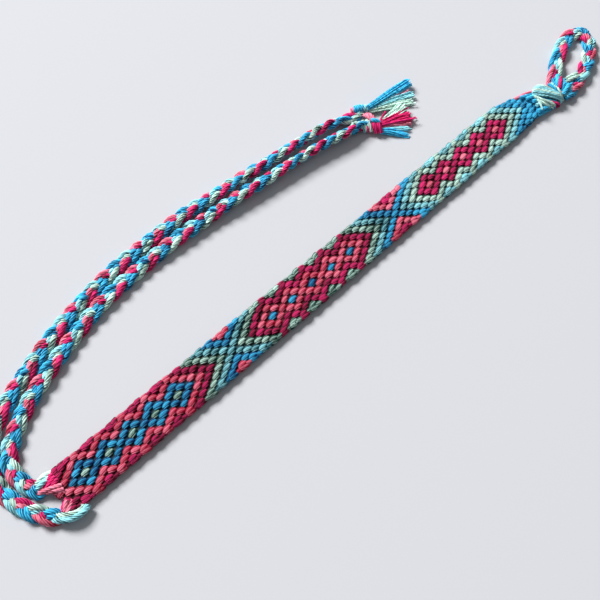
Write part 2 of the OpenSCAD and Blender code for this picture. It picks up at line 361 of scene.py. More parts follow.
class Trees:
    """The two Geometry Nodes trees that every string and every knot is made with.

    READS lists the values that the sweep reads back from each point. SUMS lists what it works
    out from them in order: a name, an operation and what goes into it. A section's points lie on
    an oval round the middle line, every other one dipped by the groove between two plies.
    """

    READS = (
        ("ray", "FLOAT"),
        ("run", "FLOAT"),
        ("centre", "FLOAT_VECTOR"),
        ("across", "FLOAT_VECTOR"),
        ("over", "FLOAT_VECTOR"),
    )
    SUMS = (
        ("sides", "MULTIPLY", "Plies", 2.0),
        ("gone round", "MULTIPLY", "ray", FULL_TURN),
        ("own angle", "DIVIDE", "gone round", "sides"),
        ("gone along", "MULTIPLY", "run", FULL_TURN),
        ("twist", "DIVIDE", "gone along", "Lay"),
        ("angle", "ADD", "own angle", "twist"),
        ("is groove", "MODULO", "ray", 2.0),
        ("dip", "MULTIPLY", "is groove", "Groove"),
        ("lobe", "SUBTRACT", 1.0, "dip"),
        ("cosine", "COSINE", "angle"),
        ("sine", "SINE", "angle"),
        ("side", "MULTIPLY", "cosine", "lobe"),
        ("rise", "MULTIPLY", "sine", "lobe"),
        ("weave x", "COSINE", "own angle"),
        ("weave y", "SINE", "own angle"),
    )

    def __init__(self, materials: dict[Floss, bpy.types.Material]) -> None:
        """Builds both trees.

        Args:
            materials: The finish of each floss.
        """
        self.materials = materials
        self.sweep = self.build_sweep()
        self.scatter = self.build_scatter()

    @staticmethod
    def new_tree(name: str, inputs: dict[str, str]) -> tuple[bpy.types.GeometryNodeTree, bpy.types.Node]:
        """Starts a tree with its named inputs.

        Args:
            name: Name of the tree.
            inputs: Each further input's name and socket type.

        Returns:
            The tree and its input node.
        """
        tree = bpy.data.node_groups.new(name, "GeometryNodeTree")
        sockets = {"Geometry": "NodeSocketGeometry", **inputs}
        for title, kind in sockets.items():
            tree.interface.new_socket(title, in_out="INPUT", socket_type=kind)
        tree.interface.new_socket("Geometry", in_out="OUTPUT", socket_type="NodeSocketGeometry")
        return tree, grow(tree, "NodeGroupInput")

    def close_tree(
        self, tree: bpy.types.GeometryNodeTree, last: bpy.types.Node
    ) -> bpy.types.GeometryNodeTree:
        """Ends a tree: realized, smooth, and with each floss in its own finish.

        Args:
            tree: The tree.
            last: The node that gives what the tree made.

        Returns:
            The finished tree.
        """
        last = grow(tree, "GeometryNodeRealizeInstances", {"Geometry": last})
        last = grow(tree, "GeometryNodeSetShadeSmooth", {"Geometry": last})
        number = grow(tree, "GeometryNodeInputNamedAttribute", {"Name": "floss"}, data_type="INT")
        same = {"data_type": "INT", "operation": "EQUAL"}
        for floss, material in self.materials.items():
            mine = grow(tree, "FunctionNodeCompare", {2: number, 3: floss.value}, **same)
            links = {"Geometry": last, "Selection": mine, "Material": material}
            last = grow(tree, "GeometryNodeSetMaterial", links)
        grow(tree, "NodeGroupOutput", {0: last})
        return tree

    def build_sweep(self) -> bpy.types.GeometryNodeTree:
        """Builds the tree that sweeps a plied string along each line of a sheaf.

        Returns:
            The tree, which reads each point's two half axes, across and over.
        """
        number = "NodeSocketFloat"
        inputs = {"Plies": "NodeSocketInt", "Lay": number, "Groove": number, "Relief": number}
        tree, given = self.new_tree("swept_floss", inputs)
        known: dict[object, object] = {name: given.outputs[name] for name in inputs}
        for name, kind in self.READS:
            known[name] = grow(tree, "GeometryNodeInputNamedAttribute", {"Name": name}, data_type=kind)
        for name, operation, *values in self.SUMS:
            links = {i: known.get(value, value) for i, value in enumerate(values)}
            known[name] = grow(tree, "ShaderNodeMath", links, operation=operation)
        store = "GeometryNodeStoreNamedAttribute"
        numbers = {"data_type": "FLOAT", "domain": "POINT"}
        vectors = {"data_type": "FLOAT_VECTOR", "domain": "POINT"}
        place = grow(tree, "GeometryNodeInputPosition")
        along = grow(tree, "GeometryNodeSplineParameter").outputs["Length"]
        index = grow(tree, "GeometryNodeInputIndex")
        line = grow(tree, "GeometryNodeMeshToCurve", {"Mesh": given.outputs["Geometry"]})
        line = grow(tree, store, {"Geometry": line, "Name": "centre", "Value": place}, **vectors)
        line = grow(tree, store, {"Geometry": line, "Name": "run", "Value": along}, **numbers)
        links = {"Resolution": known["sides"]}
        ring = grow(tree, "GeometryNodeCurvePrimitiveCircle", links, mode="RADIUS")
        ring = grow(tree, store, {"Geometry": ring, "Name": "ray", "Value": index}, **numbers)
        links = {"Curve": line, "Profile Curve": ring, "Fill Caps": True}
        tube = grow(tree, "GeometryNodeCurveToMesh", links)
        links = {0: known["across"], "Scale": known["side"]}
        sideways = grow(tree, "ShaderNodeVectorMath", links, operation="SCALE")
        links = {0: known["over"], "Scale": known["rise"]}
        upward = grow(tree, "ShaderNodeVectorMath", links, operation="SCALE")
        offset = grow(tree, "ShaderNodeVectorMath", {0: sideways, 1: upward}, operation="ADD")
        point = grow(tree, "ShaderNodeVectorMath", {0: known["centre"], 1: offset}, operation="ADD")
        tube = grow(tree, "GeometryNodeSetPosition", {"Geometry": tube, "Position": point})
        links = {0: known["weave x"], 1: known["weave y"], 2: known["run"]}
        weave = grow(tree, "ShaderNodeCombineXYZ", links)
        tube = grow(tree, store, {"Geometry": tube, "Name": "weave", "Value": weave}, **vectors)
        links = {"Geometry": tube, "Name": "relief", "Value": known["Relief"]}
        return self.close_tree(tree, grow(tree, store, links, **numbers))

    def build_scatter(self) -> bpy.types.GeometryNodeTree:
        """Builds the tree that sets one form at each point, turned and sized as the point says.

        Returns:
            The tree, which reads each point's spin and size.
        """
        tree, given = self.new_tree("scattered_knots", {"Form": "NodeSocketObject"})
        form = grow(tree, "GeometryNodeObjectInfo", {"Object": given.outputs["Form"]})
        spin, size = (
            grow(tree, "GeometryNodeInputNamedAttribute", {"Name": name}, data_type="FLOAT_VECTOR")
            for name in ("spin", "size")
        )
        links = {
            "Points": given.outputs["Geometry"],
            "Instance": form.outputs["Geometry"],
            "Rotation": grow(tree, "FunctionNodeEulerToRotation", {0: spin}),
            "Scale": size,
        }
        return self.close_tree(tree, grow(tree, "GeometryNodeInstanceOnPoints", links))

    def run(
        self, name: str, source: bpy.types.Mesh, tree: bpy.types.GeometryNodeTree, values: dict[str, object]
    ) -> bpy.types.Object:
        """Runs a tree on a mesh and keeps the result as a plain piece.

        Args:
            name: Name of the piece.
            source: The mesh that the tree reads.
            tree: The tree.
            values: Its inputs by name.

        Returns:
            The piece, with its faces outwards and no modifier.
        """
        maker = placed(f"{name}_maker", source)
        modifier = maker.modifiers.new("maker", "NODES")
        modifier.node_group = tree
        for item in tree.interface.items_tree:
            if item.in_out == "INPUT" and item.name in values:
                modifier[item.identifier] = values[item.name]
        found = maker.evaluated_get(bpy.context.evaluated_depsgraph_get())
        made = bpy.data.meshes.new_from_object(found)
        bpy.data.objects.remove(maker)
        return self.piece(name, made)

    @staticmethod
    def piece(name: str, made: bpy.types.Mesh) -> bpy.types.Object:
        """Turns a mesh to a piece of the object.

        Args:
            name: Name of the piece.
            made: Its mesh.

        Returns:
            The piece, with its faces outwards.
        """
        shape = bmesh.new()
        shape.from_mesh(made)
        bmesh.ops.recalc_face_normals(shape, faces=shape.faces)
        shape.to_mesh(made)
        shape.free()
        made.name = name
        return placed(name, made)


@dataclass
class Sheaf:
    """Lines of strings, with the two half axes of the section at each point, in millimetres.

    A string is taken as upright where the level part of its side is shorter than LEAST_LEVEL.
    """

    LEAST_LEVEL = 0.05

    name: str
    points: Path = field(default_factory=list)
    across: Path = field(default_factory=list)
    over: Path = field(default_factory=list)
    floss: list[int] = field(default_factory=list)
    shade: list[float] = field(default_factory=list)
    edges: list[tuple[int, int]] = field(default_factory=list)

    def add(
        self, line: Path, across: Path, over: Path, floss: Floss, shade: float, fade: float = 0.0
    ) -> None:
        """Adds one string.

        Args:
            line: Its middle line.
            across: Half its width as a vector, at each point.
            over: Half its thickness as a vector, at each point.
            floss: Its colour.
            shade: How light its dye is at its start, from 0 to 1.
            fade: How much lighter its dye is at its end.
        """
        first = len(self.points)
        last = len(line) - 1
        self.points += line
        self.across += across
        self.over += over
        self.floss += [floss.value] * len(line)
        self.shade += [shade + fade * i / last for i in range(len(line))]
        self.edges += [(first + i, first + i + 1) for i in range(last)]

    def add_round(
        self, line: Path, width: float, floss: Floss, shade: float, flat: float = 1.0, fade: float = 0.0
    ) -> None:
        """Adds a string whose section lies level, with one width all along.

        Args:
            line: Its middle line.
            width: Its width.
            floss: Its colour.
            shade: How light its dye is at its start.
            flat: Its thickness as a share of its width.
            fade: How much lighter its dye is at its end.
        """
        across: Path = []
        over: Path = []
        for i in range(len(line)):
            ahead = (line[min(i + 1, len(line) - 1)] - line[max(i - 1, 0)]).normalized()
            level = UPWARD.cross(ahead)
            is_upright = level.length <= self.LEAST_LEVEL
            side = (Vector((0, 1, 0)) if is_upright else level).normalized()
            across.append(side * width / 2)
            over.append(ahead.cross(side) * width / 2 * flat)
        self.add(line, across, over, floss, shade, fade)

    def mesh(self) -> bpy.types.Mesh:
        """Writes the lines to a mesh of edges.

        Returns:
            The mesh, in metres.
        """
        made = bpy.data.meshes.new(self.name)
        made.from_pydata([p * MM for p in self.points], self.edges, [])
        put(made, "across", "FLOAT_VECTOR", self.across, MM)
        put(made, "over", "FLOAT_VECTOR", self.over, MM)
        put(made, "floss", "INT", self.floss)
        put(made, "shade", "FLOAT", self.shade)
        return made

    def build(
        self, trees: Trees, plies: int = 6, lay: float = 5.0, groove: float = 0.2, relief: float = 1.0
    ) -> bpy.types.Object:
        """Sweeps the strings.

        Args:
            trees: The trees.
            plies: Plies of each string.
            lay: Length in which a ply goes once round its string, in millimetres.
            groove: Depth between two plies, as a share of the half width.
            relief: How much of the finish's relief the strings are thick enough to show.

        Returns:
            The piece.
        """
        values = {"Plies": plies, "Lay": lay * MM, "Groove": groove, "Relief": relief}
        return trees.run(self.name, self.mesh(), trees.sweep, values)


def spline(points: Path, steps: int) -> Path:
    """Draws a smooth curve through points, as the solids' routes are drawn.

    Args:
        points: The points.
        steps: Steps from each point to the next.

    Returns:
        The curve's points.
    """
    made: Path = []
    for i in range(len(points) - 1):
        b = points[i]
        c = points[i + 1]
        a = points[i - 1] if i > 0 else 2 * b - c
        d = points[i + 2] if i + 2 < len(points) else 2 * c - b
        square = 2 * a - 5 * b + 4 * c - d
        cube = 3 * b - a - 3 * c + d
        for k in range(steps):
            t = k / steps
            made.append(0.5 * (2 * b + (c - a) * t + square * t * t + cube * t * t * t))
    made.append(points[-1].copy())
    return made


class Route:
    """A level middle line, read by the length along it."""

    STEPS = 6
    LOOK_AHEAD = 0.15

    def __init__(self, points: list[Pair], start: float) -> None:
        """Measures the route.

        Args:
            points: Its points, as the solids' source gives them.
            start: How far along X its own origin lies, in millimetres.
        """
        self.line = spline([Vector((start + x, y, 0)) for x, y in points], self.STEPS)
        self.runs = [0.0]
        for a, b in zip(self.line, self.line[1:]):
            self.runs.append(self.runs[-1] + (b - a).length)
        self.length = self.runs[-1]

    def at(self, s: float) -> Vector:
        """Finds a point of the route.

        Args:
            s: How far along it lies.

        Returns:
            The point.
        """
        s = max(0.0, min(self.length, s))
        low = 0
        high = len(self.runs) - 1
        while high - low > 1:
            middle = (low + high) // 2
            if self.runs[middle] <= s:
                low = middle
            else:
                high = middle
        t = (s - self.runs[low]) / (self.runs[high] - self.runs[low])
        return self.line[low].lerp(self.line[high], t)

    def heading(self, s: float) -> Vector:
        """The direction of the route s along it."""
        return (self.at(s + self.LOOK_AHEAD) - self.at(s - self.LOOK_AHEAD)).normalized()


@dataclass
class Braid:
    """A three-strand braid of paired strings, laid along its route and turned on edge."""

    name: str
    route: Route
    turns: list[Pair]
    swing_start: float
    swing_end: float
    roll_deg: float = 0.0
    roll_from: float = 0.45
    width: float = 3.35
    strand_width: float = 1.85
    strand_thickness: float = 0.92
    rise: float = 0.49
    fan_length: float = 5.0
    step: float = 0.36
    pair_sway_deg: float = 22.0
    string_overlap: float = 1.42
    string_swell: float = 1.3
    floor_gap: float = 0.02
    starts: tuple[Triple, ...] = ()
    start_length: float = 4.0
    ends: tuple[Triple, ...] = ()
    end_length: float = 6.0
    lead_in: float = 0.0
    lead_out: float = 0.0
    held_heights: Pair = (0.95, 1.5)
    held_length: float = 1.6
    phase_deg: float = 90.0
    strand_gap_deg: float = 120.0
    sway_mm: float = 3.1
    sway_phase: float = 2.0
    lead_steps: int = 4
    shade_range: float = 0.4

    STRANDS = (
        ("pink", 0, MAGENTA, CORAL, 0.2),
        ("mint", 1, MINT, AQUA, 0.32),
        ("blue", 2, AZURE, AZURE, 0.1),
    )
    SLOTS = {"pink": "pink_floss", "mint": "mint_floss", "blue": "blue_floss"}

    @property
    def swing(self) -> float:
        """How far a strand's middle goes to each side."""
        return (self.width - self.strand_width) / 2

    def spread(self, s: float) -> float:
        """Works out how far the strands are spread.

        Args:
            s: Where along the route.

        Returns:
            The share of the swing that they have there.
        """
        left = self.route.length - s
        return (
            1
            + (self.swing_start / self.swing - 1) * (1 - smooth(s / self.fan_length))
            + (self.swing_end / self.swing - 1) * (1 - smooth(left / self.fan_length))
        )

    def roll(self, s: float) -> float:
        """How far the braid is turned on edge, in radians."""
        share = (s / self.route.length - self.roll_from) / (1 - self.roll_from)
        return -math.radians(self.roll_deg) * smooth(share)

    def lift(self, s: float) -> float:
        """Works out how high the braid lies.

        Args:
            s: Where along the route.

        Returns:
            The height of its middle line there.
        """
        a = self.roll(s)
        level = (self.rise + self.strand_thickness / 2) * math.cos(a)
        return level + (self.swing + self.strand_width / 2) * abs(math.sin(a))

    def place(self, s: float, k: int) -> Vector:
        """Finds a point of a strand.

        Args:
            s: Where along the route.
            k: Number of the strand.

        Returns:
            The strand's middle there.
        """
        ahead = self.route.heading(s)
        turn = math.radians(self.phase_deg + 360 * lookup(s, self.turns) + self.strand_gap_deg * k)
        side = self.swing * self.spread(s) * math.sin(turn)
        up = -self.rise * math.sin(2 * turn)
        a = self.roll(s)
        sideways = side * math.cos(a) - up * math.sin(a)
        height = self.lift(s) + side * math.sin(a) + up * math.cos(a)
        middle = self.route.at(s)
        return Vector((middle.x - sideways * ahead.y, middle.y + sideways * ahead.x, height))

    def strand(self, k: int) -> tuple[Path, Path, Path]:
        """Works out strand k.

        Args:
            k: Number of the strand.

        Returns:
            Its middle line and, at each point, its directions across and over.
        """
        count = math.ceil(self.route.length / self.step)
        line: Path = []
        across: Path = []
        over: Path = []
        for i in range(count + 1):
            s = self.route.length * i / count
            a = self.roll(s)
            ahead = self.route.heading(s)
            after = self.place(min(s + Route.LOOK_AHEAD, self.route.length), k)
            run = (after - self.place(max(s - Route.LOOK_AHEAD, 0), k)).normalized()
            face = Vector((ahead.y * math.sin(a), -ahead.x * math.sin(a), math.cos(a)))
            side = face.cross(run).normalized()
            line.append(self.place(s, k))
            across.append(side)
            over.append(run.cross(side))
        return line, across, over

    def strings(self, k: int) -> list[tuple[Path, Path, Path]]:
        """Works out the two strings of strand k, side by side and swaying round each other.

        Args:
            k: Number of the strand.

        Returns:
            Each string's middle line and its half axes.
        """
        line, across, over = self.strand(k)
        half_width = self.strand_width / 4 * self.string_overlap
        half_height = self.strand_thickness / 2 * self.string_swell
        first_pull = Vector(self.starts[k]) - line[0] if self.starts else Vector()
        last_pull = Vector(self.ends[k]) - line[-1] if self.ends else Vector()
        made: list[tuple[Path, Path, Path]] = []
        for sign in (-1, 1):
            own: Path = []
            wide: Path = []
            tall: Path = []
            for i, (p, side, up) in enumerate(zip(line, across, over)):
                turn = i * self.step / self.sway_mm + self.sway_phase * k
                sway = math.radians(self.pair_sway_deg) * math.sin(turn)
                offset = side * math.cos(sway) + up * math.sin(sway)
                spot = p + offset * sign * self.strand_width / 4
                left = len(line) - 1 - i
                if not (self.starts if i < left else self.ends):
                    held = self.held_heights[0 if i < left else 1]
                    free = smooth(min(i, left) * self.step / self.held_length)
                    spot.z = held + (spot.z - held) * free
                spot += first_pull * (1 - smooth(i * self.step / self.start_length))
                spot += last_pull * (1 - smooth(left * self.step / self.end_length))
                depth = math.hypot(side.z * half_width, up.z * half_height)
                spot.z = max(depth + self.floor_gap, spot.z)
                own.append(spot)
                wide.append(side * half_width)
                tall.append(up * half_height)
            self.lead(own, wide, tall)
            made.append((own, wide, tall))
        return made

    def lead(self, line: Path, wide: Path, tall: Path) -> None:
        """Runs a string's ends on into what holds them.

        Args:
            line: Its middle line.
            wide: Half its width as a vector, at each point.
            tall: Half its thickness as a vector, at each point.
        """
        for length, end in ((self.lead_in, 0), (self.lead_out, -1)):
            if length <= 0:
                continue
            away = (line[0] - line[1]) if end == 0 else (line[-1] - line[-2])
            away = Vector((away.x, away.y, 0)).normalized()
            start = line[end].copy()
            for i in range(1, self.lead_steps + 1):
                p = start + away * length * i / self.lead_steps
                spot = 0 if end == 0 else len(line)
                line.insert(spot, p)
                wide.insert(spot, wide[end].copy())
                tall.insert(spot, tall[end].copy())

    def build(self, trees: Trees, rng: random.Random) -> list[bpy.types.Object]:
        """Builds the braid's three strands.

        Args:
            trees: The trees.
            rng: Source of the small differences between strings.

        Returns:
            The pieces.
        """
        made: list[bpy.types.Object] = []
        for title, k, left, right, shade in self.STRANDS:
            node = f"{self.name}_{title}"
            sheaf = Sheaf(f"{node}_strings")
            for floss, (line, wide, tall) in zip((left, right), self.strings(k)):
                sheaf.add(line, wide, tall, floss, shade + rng.uniform(0, self.shade_range))
            piece = sheaf.build(trees)
            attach(piece, "root")
            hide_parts(node)
            made.append(piece)
        return made


@dataclass(frozen=True)
class Motif:
    """A row of diamonds that share their colours from the middle outwards."""

    first: int
    until: int
    centres: range
    ladder: str


@dataclass
class KnottedBand:
    """The woven band: rows of half-hitch knots, each two wraps of floss over a hidden core.

    A wrap's spacing and girth are given as the share that it has at its ends, and what its crown
    adds. MOTIFS is the chart: each ladder names the flosses of a diamond's rings, from the middle
    outwards.
    """

    row_pitch: float = 1.4
    first_row: int = -4
    last_row: int = 92
    outer_column: int = 5
    column_pitch: float = 1.05
    column_squeeze: float = 0.0055
    wrap_length: float = 2.65
    wrap_diameter: float = 0.9
    wrap_spacing: float = 0.44
    wrap_groove: float = 0.1
    wrap_lay: float = 9.0
    wrap_offset: float = 3.0
    wrap_run: float = 1.2
    end_spacing: float = 0.55
    crown_spacing: float = 0.45
    end_girth: float = 0.75
    crown_girth: float = 0.25
    arch_start_deg: float = -8.0
    arch_deg: float = 196.0
    form_rings: int = 5
    form_sides: int = 10
    skew: float = 0.035
    skew_growth: float = 0.003
    stray: float = 0.05
    turn_stray: float = 0.1
    tilt_stray: float = 0.08
    size_stray: float = 0.05
    knot_heights: Pair = (0.84, 0.97)
    knot_shades: Pair = (0.3, 0.85)
    rising_slant_deg: float = 13.0
    falling_slant_deg: float = 2.0
    core_share: float = 0.24
    # Painted shade of the core, below nought to darken it towards black.
    core_painted_shade: float = -0.8
    core_inset: float = 0.7
    bright_from: int = 60
    bright_shade: float = 0.34
    edge_tilt: float = 0.3
    edge_inset: float = 0.35
    plump: Triple = (1.05, 1.0, 0.95)
    slim: Triple = (1.0, 0.62, 0.82)
    hidden: Triple = (0.8, 0.55, 0.7)
    edge_turn_inset: float = 0.25
    edge_turn_size: Triple = (1.15, 0.75, 0.8)
    gather_rows: tuple[Triple, ...] = (
        (0.0, 0.5, 0.0),
        (0.46, 0.44, -0.02),
        (0.84, 0.31, -0.08),
        (1.0, 0.19, -0.13),
    )
    gather_from: int = 87
    least_squeeze: float = 0.66

    MOTIFS = (
        Motif(-99, 26, range(0, 17, 4), "GBCMGABC"),
        Motif(26, 60, range(34, 51, 4), "BCMGABCM"),
        Motif(60, 999, range(68, 85, 4), "CMGABCM"),
    )
    TIE_END_RINGS = 3
    LOOP_END_RINGS = 4

    def __post_init__(self) -> None:
        """Takes the band's ends, width and thickness from its solid."""
        low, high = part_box("band")
        self.start = low.x / MM
        self.end = high.x / MM
        self.width = (high.y - low.y) / MM
        self.thickness = (high.z - low.z) / MM
        self.narrow_from = self.start + (self.gather_from - self.first_row) * self.row_pitch

    def ring(self, u: int, p: int) -> tuple[Motif, int, int]:
        """Finds a knot's place in the chart.

        Args:
            u: Its row along the band.
            p: Its column, counted from the middle line.

        Returns:
            Its motif, its ring round the nearest diamond's middle, and the side of it.
        """
        for motif in self.MOTIFS:
            if motif.first <= u <= motif.until:
                centre = min(motif.centres, key=lambda c: abs(u - c))
                side = (u > centre) - (u < centre)
                return motif, (abs(u - centre) + abs(p)) // 2, side
        raise ValueError(f"row {u} is in no motif")

    def floss_at(self, u: int, p: int) -> Floss:
        """Reads the chart.

        Args:
            u: A knot's row.
            p: Its column.

        Returns:
            Its colour.
        """
        motif, ring, _ = self.ring(u, p)
        last = len(motif.ladder) - 1
        if u < self.MOTIFS[0].centres[0]:
            last = self.TIE_END_RINGS
        if u > self.MOTIFS[-1].centres[-1]:
            last = self.LOOP_END_RINGS
        return CHART_LETTERS[motif.ladder[min(ring, last)]]

    def slant(self, u: int, p: int) -> float:
        """Works out which way a knot's wraps lean.

        Args:
            u: Its row.
            p: Its column.

        Returns:
            The angle, in radians.
        """
        _, _, side = self.ring(u, p)
        way = -side * ((p > 0) - (p < 0))
        if way < 0:
            return -math.radians(self.falling_slant_deg)
        return math.radians(self.rising_slant_deg)

    def size(self, u: int, p: int) -> Vector:
        """Works out a knot's size: pulled in at the edges, more on one side of a diamond.

        Args:
            u: Its row.
            p: Its column.

        Returns:
            Its size along, across and upwards, as shares of the form's.
        """
        _, _, side = self.ring(u, p)
        if abs(p) < self.outer_column:
            return Vector((1, 1, 1))
        if p > 0:
            return Vector(self.plump if side < 0 else self.slim)
        return Vector(self.slim if side < 0 else self.hidden)

    def outline(self, x: float) -> Pair:
        """Works out how wide the band is.

        Args:
            x: Where along it.

        Returns:
            Its half width there, and how far its middle is shifted.
        """
        share = (x - self.narrow_from) / (self.end - self.narrow_from)
        half = lookup(share, [(row[0], row[1]) for row in self.gather_rows])
        shift = lookup(share, [(row[0], row[2]) for row in self.gather_rows])
        return half * self.width, shift * self.width

    def place(self, u: float, p: float) -> Vector:
        """Finds where a knot lies.

        Args:
            u: Its row.
            p: Its column.

        Returns:
            The place, in millimetres, at the band's middle height.
        """
        skew = self.skew + self.skew_growth * u
        x = self.start + (u - self.first_row) * self.row_pitch + skew * p
        half, shift = self.outline(x)
        y = self.column_pitch * p - self.column_squeeze * p**3
        squeeze = max(self.least_squeeze, half / (self.width / 2))
        return Vector((x, shift + y * squeeze, self.thickness / 2))

    def is_woven(self, u: int, p: int) -> bool:
        """Finds whether there is a knot that lies inside the band's outline.

        Args:
            u: Its row.
            p: Its column.

        Returns:
            Whether there is.
        """
        place = self.place(u, p)
        half, shift = self.outline(place.x)
        return (u + p) % 2 == 0 and abs(place.y - shift) < half

    def form(self) -> bpy.types.Object:
        """Builds one knot: two arched wraps of floss side by side.

        Returns:
            The form, which the band repeats.
        """
        rings = self.form_rings
        sides = self.form_sides
        radius = self.wrap_diameter / 2
        reach = self.wrap_length / 2 - radius
        rise = self.thickness / 2 - radius
        side = Vector((0, 1, 0))
        points: Path = []
        weave: Path = []
        wear: list[float] = []
        faces: list[tuple[int, ...]] = []
        for lane in (-1, 1):
            first = len(points)
            for i in range(rings):
                share = i / (rings - 1)
                phi = math.radians(self.arch_start_deg + self.arch_deg * share)
                swell = math.sin(math.pi * share)
                apart = self.wrap_spacing / 2 * (self.end_spacing + self.crown_spacing * swell)
                centre = Vector((reach * math.cos(phi), lane * apart, rise * math.sin(phi)))
                out = Vector((rise * math.cos(phi), 0, reach * math.sin(phi))).normalized()
                size = radius * (self.end_girth + self.crown_girth * swell)
                run = self.wrap_length * self.wrap_run * share
                for j in range(sides):
                    g = FULL_TURN * j / sides
                    lobe = size * (1 - self.wrap_groove * (j % 2))
                    points.append(centre + (out * math.cos(g) + side * math.sin(g)) * lobe)
                    own = g - FULL_TURN * run / self.wrap_lay
                    along = (run + self.wrap_offset * lane) * MM
                    weave.append(Vector((math.cos(own), math.sin(own), along)))
                    # Painted shade: the lower a point of a wrap lies, the darker its colour, so the crowns
                    # look lit.
                    wear.append(points[-1].z / (self.thickness / 2) - 1)
            for i in range(rings - 1):
                for j in range(sides):
                    a = first + i * sides + j
                    b = first + i * sides + (j + 1) % sides
                    faces.append((a, b, b + sides, a + sides))
            faces.append(tuple(first + j for j in reversed(range(sides))))
            faces.append(tuple(first + (rings - 1) * sides + j for j in range(sides)))
        made = bpy.data.meshes.new("knot_form")
        made.from_pydata([p * MM for p in points], [], faces)
        put(made, "weave", "FLOAT_VECTOR", weave)
        put(made, "wear", "FLOAT", wear)
        put(made, "relief", "FLOAT", [1.0] * len(points))
        return placed("knot_form", made)

    def knots(self, rng: random.Random, back: bool) -> bpy.types.Mesh:
        """Lays out the knots of one face.

        Args:
            rng: Source of the small differences between knots.
            back: Whether this is the underside.

        Returns:
            A mesh of points that carry each knot's turn, size, colour and shade.
        """
        places: Path = []
        spins: Path = []
        sizes: Path = []
        flosses: list[int] = []
        shades: list[float] = []
        flip = Matrix.Rotation(math.pi if back else 0.0, 4, "X")
        bright_end = self.place(self.bright_from, 0).x

        def keep(place: Vector, turn: float, tilt: float, size: Vector, floss: Floss) -> None:
            """Adds one knot or edge turn, a little off its place, turn and size.

            Args:
                place: Its middle.
                turn: Its turn in the band's plane, in radians.
                tilt: Its turn round the band's length, in radians.
                size: Its size.
                floss: Its colour.
            """
            off = Vector((rng.gauss(0, self.stray), rng.gauss(0, self.stray), 0))
            turned = Matrix.Rotation(turn + rng.gauss(0, self.turn_stray), 4, "Z")
            tilted = Matrix.Rotation(tilt + rng.gauss(0, self.tilt_stray), 4, "X")
            places.append(place + off)
            spins.append(Vector((flip @ tilted @ turned).to_euler("XYZ")))
            grown = rng.gauss(1, self.size_stray)
            height = size.z * rng.uniform(*self.knot_heights)
            sizes.append(Vector((size.x * grown, size.y * grown, height)))
            flosses.append(floss.value)
            brighter = self.bright_shade if place.x > bright_end else 0.0
            shades.append(rng.uniform(*self.knot_shades) + brighter)

        for u in range(self.first_row, self.last_row + 1):
            for p in range(-self.outer_column, self.outer_column + 1):
                if not self.is_woven(u, p):
                    continue
                outer = abs(p) == self.outer_column
                tilt = -math.copysign(self.edge_tilt, p) if outer else 0.0
                spot = self.place(u, p)
                if outer:
                    spot.y -= math.copysign(self.edge_inset, p)
                size = self.size(u, p)
                keep(spot, self.slant(u, p), tilt, size, self.floss_at(u, p))
                if outer and u < self.gather_from:
                    between = self.place(u + 1, p)
                    between.y -= math.copysign(self.edge_turn_inset, p)
                    floss = self.floss_at(u + 1, p - (1 if p > 0 else -1))
                    keep(between, 0.0, tilt, Vector(self.edge_turn_size), floss)
        made = bpy.data.meshes.new("knot_places")
        made.from_pydata([p * MM for p in places], [], [])
        put(made, "spin", "FLOAT_VECTOR", spins)
        put(made, "size", "FLOAT_VECTOR", sizes)
        put(made, "floss", "INT", flosses)
        put(made, "shade", "FLOAT", shades)
        return made

    def core(self, trees: Trees) -> bpy.types.Object:
        """Builds the inside that shows between the knots, coloured as they are but painted dark as shade.

        Args:
            trees: The trees, for their materials.

        Returns:
            The piece.
        """
        half_height = self.thickness / 2 * self.core_share
        columns = list(range(-self.outer_column, self.outer_column + 1))
        rows = list(range(self.first_row, self.last_row + 1))
        points: Path = []
        for sign in (1, -1):
            for u in rows:
                for p in columns:
                    place = self.place(u, p)
                    half, shift = self.outline(place.x)
                    most = half - self.core_inset
                    place.y = shift + max(-most, min(most, place.y - shift))
                    points.append(place + UPWARD * half_height * sign)
        across = len(columns)
        sheet = across * len(rows)
        faces: list[tuple[int, ...]] = []
        owners: list[Floss] = []

        def cell(i: int, j: int) -> Floss:
            """Finds the colour of the knot nearest to a cell.

            Args:
                i: The cell's row.
                j: Its column.

            Returns:
                The colour.
            """
            u = rows[i]
            p = columns[j]
            return self.floss_at(u, p if (u + p) % 2 == 0 else p + 1)

        for i in range(len(rows) - 1):
            for j in range(across - 1):
                a = i * across + j
                faces.append((a, a + across, a + across + 1, a + 1))
                faces.append(tuple(sheet + v for v in (a, a + 1, a + across + 1, a + across)))
                owners += [cell(i, j)] * 2
            for j in (0, across - 1):
                a = i * across + j
                faces.append((a, a + across, a + across + sheet, a + sheet))
                owners.append(cell(i, j))
        for i in (0, len(rows) - 1):
            for j in range(across - 1):
                a = i * across + j
                faces.append((a, a + 1, a + 1 + sheet, a + sheet))
                owners.append(cell(i, j))
        made = bpy.data.meshes.new("band_core")
        made.from_pydata([p * MM for p in points], [], faces)
        for material in trees.materials.values():
            made.materials.append(material)
        order = list(trees.materials)
        made.polygons.foreach_set("material_index", [order.index(floss) for floss in owners])
        # Painted shade: the core's low shade darkens its colours nearly to black between the knots.
        put(made, "shade", "FLOAT", [self.core_painted_shade] * len(points))
        return trees.piece("band_core", made)

    def build(self, trees: Trees, rng: random.Random) -> list[bpy.types.Object]:
        """Builds the band.

        Args:
            trees: The trees.
            rng: Source of the small differences between knots.

        Returns:
            The pieces.
        """
        form = self.form()
        face = trees.run("band_knots_face", self.knots(rng, False), trees.scatter, {"Form": form})
        back = trees.run("band_knots_back", self.knots(rng, True), trees.scatter, {"Form": form})
        bpy.data.objects.remove(form)
        made = [face, back, self.core(trees)]
        for piece in made:
            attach(piece, "root")
        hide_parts("band")
        return made


